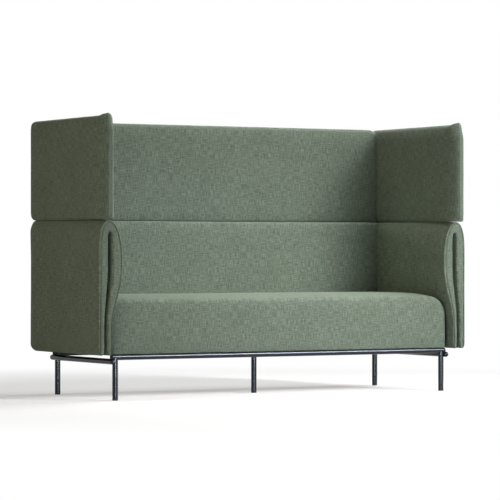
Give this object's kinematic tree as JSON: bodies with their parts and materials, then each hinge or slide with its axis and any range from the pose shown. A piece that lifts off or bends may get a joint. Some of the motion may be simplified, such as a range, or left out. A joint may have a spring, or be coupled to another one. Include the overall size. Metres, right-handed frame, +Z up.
{
  "type": "lounge sofa",
  "caption": "Lounge sofa with a bench seat, folded padded arms, a high back and side screens, on a black steel tube base with levelling feet.",
  "frame": {"origin": "centre of the footprint, on the floor", "axes": "+X along the bench to the right as seen from the front, +Y towards the back, +Z up"},
  "size_m": [1.906, 0.747, 1.2454],
  "materials": {
    "upholstery_fabric": "woven green-grey melange wool",
    "polyurethane_foam": "open-cell upholstery foam",
    "powder_coated_steel": "black satin powder coat",
    "black_nylon": "moulded, matt",
    "zinc_plated_steel": "zinc plated",
    "elastic_webbing": "woven elastic strap",
    "softwood": "planed, unfinished",
    "plywood": "birch plywood, unfinished"
  },
  "bodies": {
    "sofa": {"arm_bolts": "zinc_plated_steel", "arm_brackets": "zinc_plated_steel", "arm_posts": "softwood", "arm_tee_nuts": "zinc_plated_steel", "back_brackets": "zinc_plated_steel", "bracket_screws": "zinc_plated_steel", "centre_leg": "powder_coated_steel", "front_rail": "powder_coated_steel", "glide_inserts": "black_nylon", "left_arm_cover": "upholstery_fabric", "left_arm_inner_board": "plywood", "left_arm_inner_foam": "polyurethane_foam", "left_arm_outer_board": "plywood", "left_arm_outer_foam": "polyurethane_foam", "left_front_leg": "powder_coated_steel", "left_rear_leg": "powder_coated_steel", "left_screen_board": "plywood", "left_screen_cover": "upholstery_fabric", "left_screen_inner_foam": "polyurethane_foam", "left_screen_outer_foam": "polyurethane_foam", "left_side_rail": "powder_coated_steel", "link_bar_screws": "zinc_plated_steel", "link_bars": "zinc_plated_steel", "lower_back_board": "plywood", "lower_back_cover": "upholstery_fabric", "lower_back_front_foam": "polyurethane_foam", "lower_back_rear_foam": "polyurethane_foam", "middle_rail": "powder_coated_steel", "platform_tabs": "powder_coated_steel", "rail_end_caps": "powder_coated_steel", "rear_rail": "powder_coated_steel", "right_arm_cover": "upholstery_fabric", "right_arm_inner_board": "plywood", "right_arm_inner_foam": "polyurethane_foam", "right_arm_outer_board": "plywood", "right_arm_outer_foam": "polyurethane_foam", "right_front_leg": "powder_coated_steel", "right_rear_leg": "powder_coated_steel", "right_screen_board": "plywood", "right_screen_cover": "upholstery_fabric", "right_screen_inner_foam": "polyurethane_foam", "right_screen_outer_foam": "polyurethane_foam", "right_side_rail": "powder_coated_steel", "seat_cover": "upholstery_fabric", "seat_foam": "polyurethane_foam", "seat_front_beam": "softwood", "seat_platform": "plywood", "seat_rear_beam": "softwood", "seat_short_beams": "softwood", "seat_webbing": "elastic_webbing", "upper_back_board": "plywood", "upper_back_cover": "upholstery_fabric", "upper_back_front_foam": "polyurethane_foam", "upper_back_rear_foam": "polyurethane_foam"},
    "glide_front_left": {"front_left_glide": "black_nylon"},
    "glide_front_right": {"front_right_glide": "black_nylon"},
    "glide_rear_left": {"rear_left_glide": "black_nylon"},
    "glide_rear_right": {"rear_right_glide": "black_nylon"},
    "glide_centre": {"centre_glide": "black_nylon"}
  },
  "joints": [
    {"name": "glide_front_left_screw", "type": "slide", "parent": "sofa", "child": "glide_front_left", "axis": [0, 0, -1], "range_m": [0, 0.01]},
    {"name": "glide_front_right_screw", "type": "slide", "parent": "sofa", "child": "glide_front_right", "axis": [0, 0, -1], "range_m": [0, 0.01]},
    {"name": "glide_rear_left_screw", "type": "slide", "parent": "sofa", "child": "glide_rear_left", "axis": [0, 0, -1], "range_m": [0, 0.01]},
    {"name": "glide_rear_right_screw", "type": "slide", "parent": "sofa", "child": "glide_rear_right", "axis": [0, 0, -1], "range_m": [0, 0.01]},
    {"name": "glide_centre_screw", "type": "slide", "parent": "sofa", "child": "glide_centre", "axis": [0, 0, -1], "range_m": [0, 0.01]}
  ]
}
